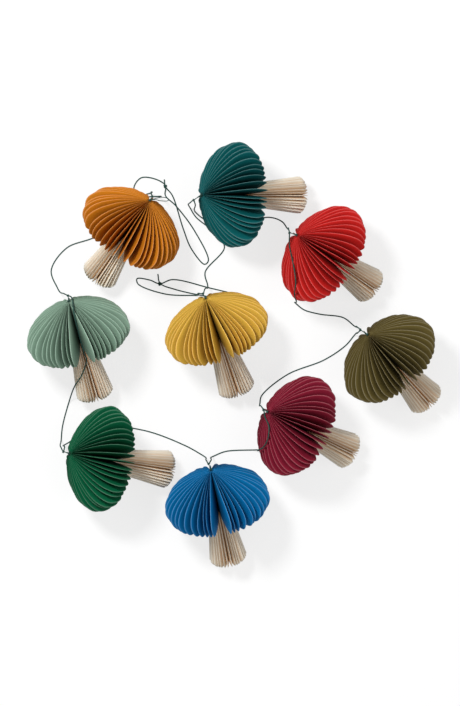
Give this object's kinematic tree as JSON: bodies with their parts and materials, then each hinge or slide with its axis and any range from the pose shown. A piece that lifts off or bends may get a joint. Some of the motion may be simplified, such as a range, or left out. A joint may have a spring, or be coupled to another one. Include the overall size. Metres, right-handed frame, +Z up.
{
  "type": "paper mushroom garland",
  "caption": "String of folded tissue-paper mushrooms, each a pleated coloured cap on a pleated cream stem, laid out flat with a hanging loop at each end of the string.",
  "frame": {"origin": "centre of the base of the box round the mushrooms, on the surface they lie on", "axes": "+X to the right and +Y away from the viewer across the layout as seen from above, +Z up from the surface"},
  "size_m": [0.4448, 0.4566, 0.1045],
  "materials": {
    "mustard_paper": "matte coloured tissue paper",
    "sage_paper": "matte coloured tissue paper",
    "green_paper": "matte coloured tissue paper",
    "blue_paper": "matte coloured tissue paper",
    "maroon_paper": "matte coloured tissue paper",
    "olive_paper": "matte coloured tissue paper",
    "red_paper": "matte coloured tissue paper",
    "teal_paper": "matte coloured tissue paper",
    "yellow_paper": "matte coloured tissue paper",
    "cream_paper": "matte cream tissue paper",
    "string": "twisted cotton string"
  },
  "bodies": {
    "root": {"mustard_cap": "mustard_paper", "mustard_stem": "cream_paper", "mustard_tie": "string", "sage_cap": "sage_paper", "sage_stem": "cream_paper", "sage_tie": "string", "green_cap": "green_paper", "green_stem": "cream_paper", "green_tie": "string", "blue_cap": "blue_paper", "blue_stem": "cream_paper", "blue_tie": "string", "maroon_cap": "maroon_paper", "maroon_stem": "cream_paper", "maroon_tie": "string", "olive_cap": "olive_paper", "olive_stem": "cream_paper", "olive_tie": "string", "red_cap": "red_paper", "red_stem": "cream_paper", "red_tie": "string", "teal_cap": "teal_paper", "teal_stem": "cream_paper", "teal_tie": "string", "yellow_cap": "yellow_paper", "yellow_stem": "cream_paper", "yellow_tie": "string", "string": "string", "mustard_end_knot": "string", "yellow_end_knot": "string"}
  },
  "joints": []
}
